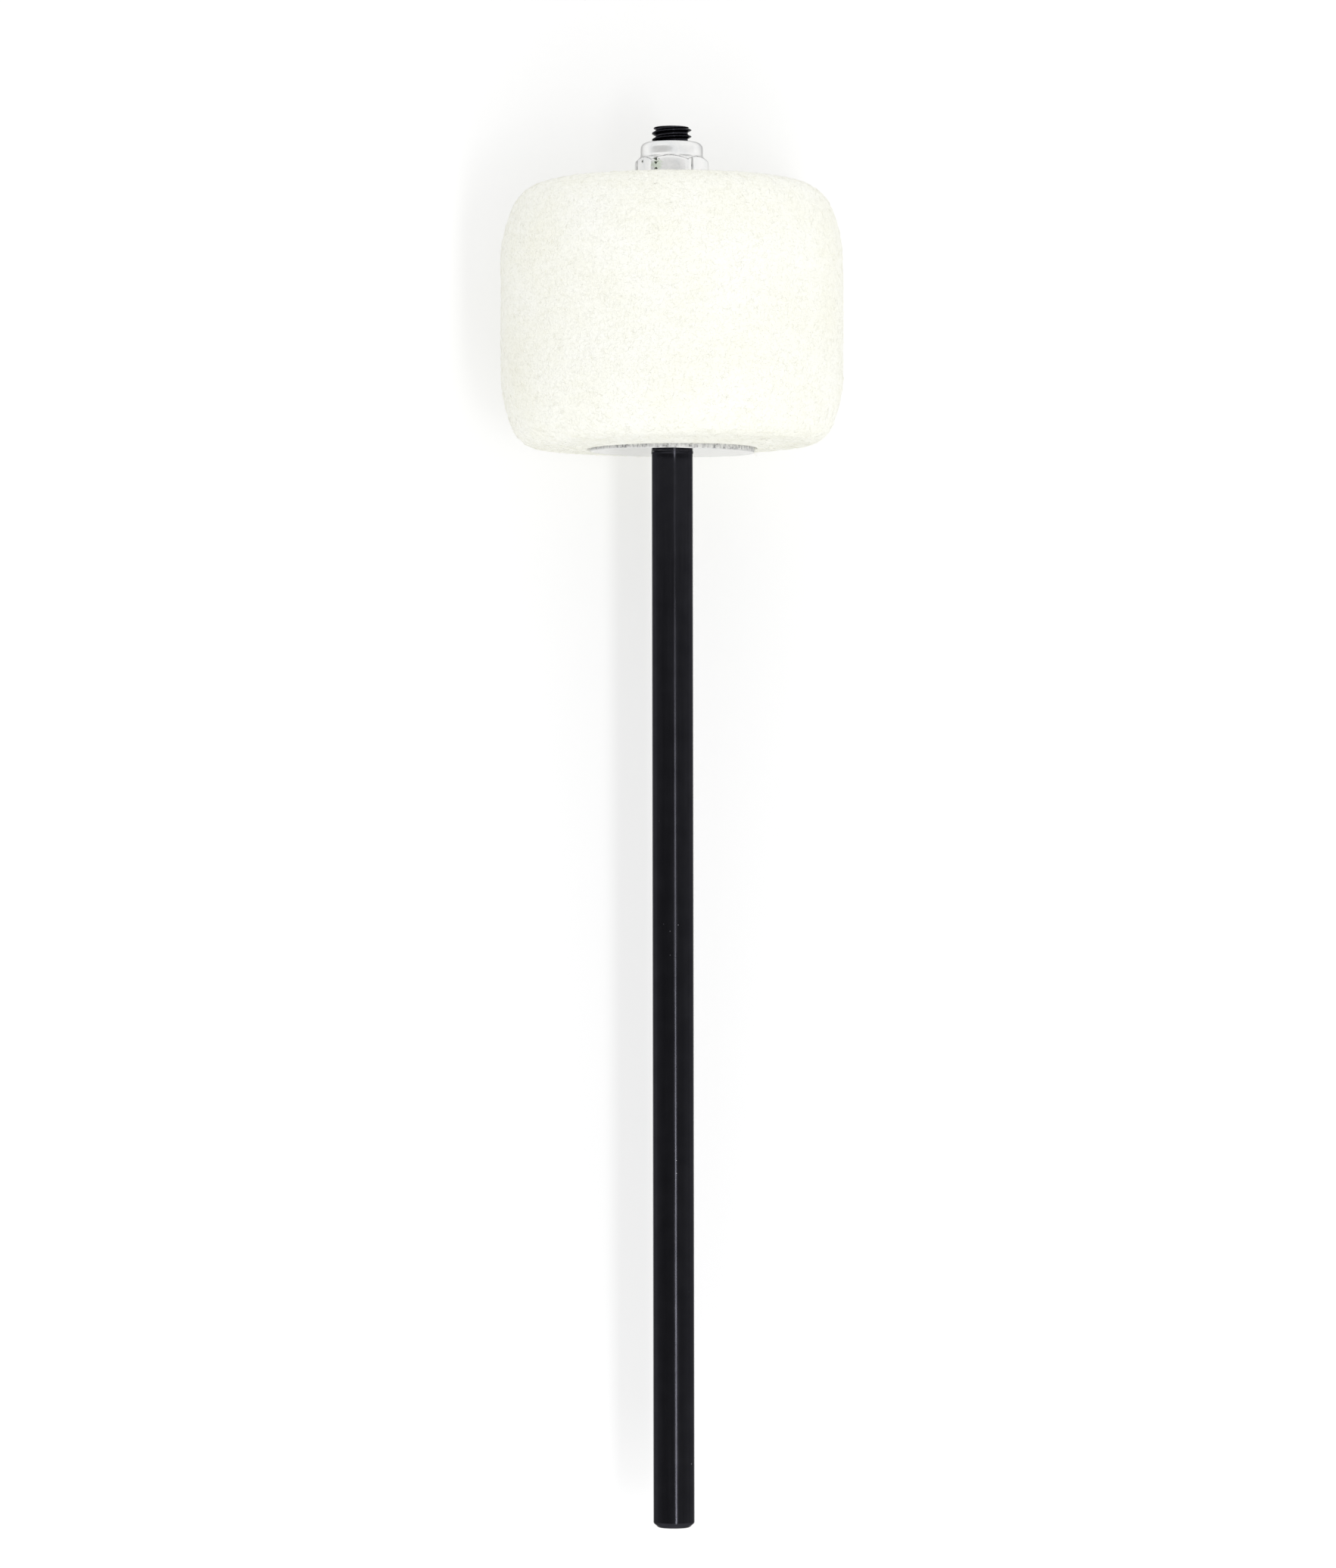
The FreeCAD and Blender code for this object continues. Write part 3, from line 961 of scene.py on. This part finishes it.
def make_dark_card(levels, wing_levels, material):
    """A darker wall round the camera's side, with a wing along the paper on each side up to the rod."""
    wall = [(card_distance * math.sin(turn), -card_distance * math.cos(turn), levels)
            for turn in np.radians(np.linspace(-90, 90, card_columns))]
    left, right = ([(side * card_distance, wing_back, levels), (side * wing_near, wing_back, wing_levels)]
                   for side in (-1, 1))
    columns = left[::-1] + wall + right
    points = [(across, back, level) for across, back, heights in columns for level in heights]
    faces = []
    for column in range(len(columns) - 1):
        first = 2 * column
        faces.append((first, first + 2, first + 3, first + 1))
    make_card("dark_card", points, faces, material)


def make_grey_card(azimuth, level, half_width, half_height, material):
    """A soft grey shape beside the camera, which darkens a part of the nut's collar."""
    square = [(-1, 0, -1), (1, 0, -1), (1, 0, 1), (-1, 0, 1)]
    card = make_card("grey_card", square, [(0, 1, 2, 3)], material)
    turn = math.radians(azimuth)
    card.location = (card_distance * math.sin(turn), -card_distance * math.cos(turn), level)
    card.rotation_euler = (0, 0, turn)
    card.scale = (half_width, 1, half_height)


def make_camera():
    """The photograph's camera: nearly level, in front of the rod, with its eye below the head."""
    data = bpy.data.cameras.new("camera")
    data.sensor_width = sensor_long_side
    data.lens = focal_pixels / image_height * sensor_long_side
    camera = bpy.data.objects.new("camera", data)
    pitch = math.atan((eye_level_pixel - image_height / 2) / focal_pixels)
    aim = Matrix.Rotation(math.pi / 2 + pitch, 4, "X") @ Matrix.Rotation(-camera_roll, 4, "Z")
    camera.matrix_world = Matrix.Translation(camera_place) @ aim
    bpy.context.scene.collection.objects.link(camera)
    bpy.context.scene.camera = camera


def make_object():
    """Every piece of the beater, in place of its CAD node."""
    black, nylon = black_material(), nylon_material()
    sheared = sheared_material("zinc_sheared", dark=0.24, middling=0.5, pale=0.74)
    # Dark grainy zinc for the painted shade lines along the nut's edges.
    shade_line_zinc = sheared_material("zinc_painted_shade_lines", dark=0.2, middling=0.4, pale=0.6)
    washer_zinc = zinc_material("zinc_washer", tone=0.88, slant=0.85, gloss=(0.1, 0.17))
    spots, tarnish = ([(nut_spot(across, rise), reach) for across, rise, reach in marks]
                      for marks in (dark_marks, tarnish_marks))
    nut_zinc = zinc_material("zinc_nut", tone=0.87, slant=0.55, gloss=(0.14, 0.24),
                             spots=spots, tarnish=tarnish)
    colours = [
        fibre_material("fibre_cream", (0.95, 0.945, 0.865)),
        fibre_material("fibre_white", (0.965, 0.965, 0.92)),
        fibre_material("fibre_straw", (0.92, 0.905, 0.8)),
        fibre_material("fibre_dark", (0.22, 0.18, 0.14)),
    ]
    make_rod(black)
    make_washer("lower_washer_zinc", lower_low.z, lower_high.z, thread_root + thread_gap, lower_washer_lean,
                "shaft", "lower_washer", [washer_zinc, sheared])
    make_washer("upper_washer_zinc", upper_low.z, upper_high.z, upper_hole, (0, 0),
                "clamp_washer", "upper_washer", [washer_zinc, sheared])
    make_head(felt_material(), colours)
    make_nut(nut_zinc, shade_line_zinc)
    make_ring(nylon)


bpy.context.scene.view_settings.view_transform = "Standard"
make_object()
make_backdrop()
make_world(fill=0.95)
make_dark_card(levels=(-0.36, 0.34), wing_levels=(-0.01, 0.212),
               material=dark_card_material(left=0.26, right=0.4, end_rise=0.15, near_rise=0.5))
make_grey_card(azimuth=-40, level=0.5, half_width=2.2, half_height=0.16,
               material=grey_card_material(shade=0.5))
make_lamp("key", azimuth=13, elevation=-21, distance=1.4,
          width=0.12, height=0.85, level=0.0855, mirrored=True)
make_lamp("strip", azimuth=13, elevation=-4.5, distance=1.4,
          width=0.12, height=0.39, level=0.0475, mirrored=True)
make_lamp("glint", azimuth=13, elevation=-13.5, distance=1.4,
          width=0.12, height=0.16, level=0.02, mirrored=True)
make_lamp("right", azimuth=74, elevation=6, distance=1.3,
          width=0.8, height=1.6, level=0.076, mirrored=False)
make_lamp("above", azimuth=0, elevation=85, distance=1.2,
          width=0.6, height=0.6, level=0.057, mirrored=False)
make_lamp("under", azimuth=8, elevation=-65, distance=1.2,
          width=0.6, height=0.6, level=0.1, mirrored=False)
make_camera()
